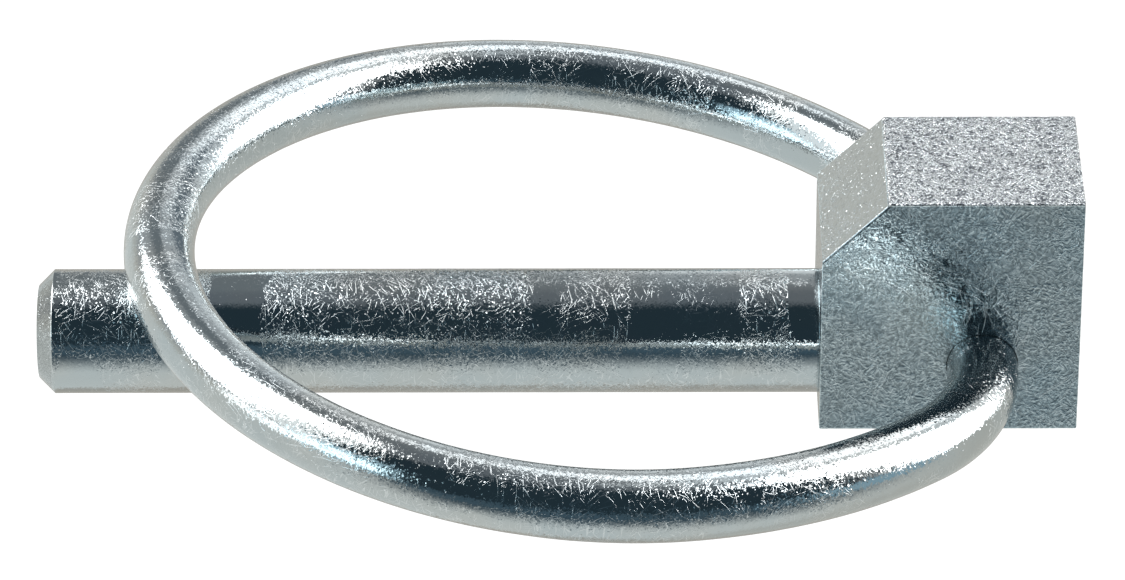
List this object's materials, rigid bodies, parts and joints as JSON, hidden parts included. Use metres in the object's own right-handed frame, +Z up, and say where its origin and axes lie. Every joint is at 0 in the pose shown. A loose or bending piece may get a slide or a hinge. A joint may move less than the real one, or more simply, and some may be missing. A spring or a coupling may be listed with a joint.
{
  "type": "linch pin",
  "caption": "Zinc-plated linch pin that locks a hitch pin: round shank with a chamfered tip, chamfered block head and a spring-wire ring hinged through the head.",
  "frame": {"origin": "on the shank's axis, in the plane of the head's shoulder", "axes": "+X runs along the shank from its tip to the head, +Y along the ring's hinge, +Z up on the side of the closed ring"},
  "size_m": [0.0661, 0.0567, 0.0167],
  "materials": {
    "head_zinc": "zinc plate over a crinkled, grainy surface",
    "shank_zinc": "bright zinc plate with fine handling scratches",
    "ring_zinc": "bright zinc plate on drawn spring wire with fine handling scratches"
  },
  "bodies": {
    "pin": {"head_block": "head_zinc", "shank": "shank_zinc"},
    "ring": {"ring": "ring_zinc"}
  },
  "joints": [
    {"name": "ring_pivot", "type": "hinge", "parent": "pin", "child": "ring", "pos_m": [0.01025, 0, 0.00075], "axis": [0, 1, 0], "range_deg": [-0.55, 345.6]}
  ]
}
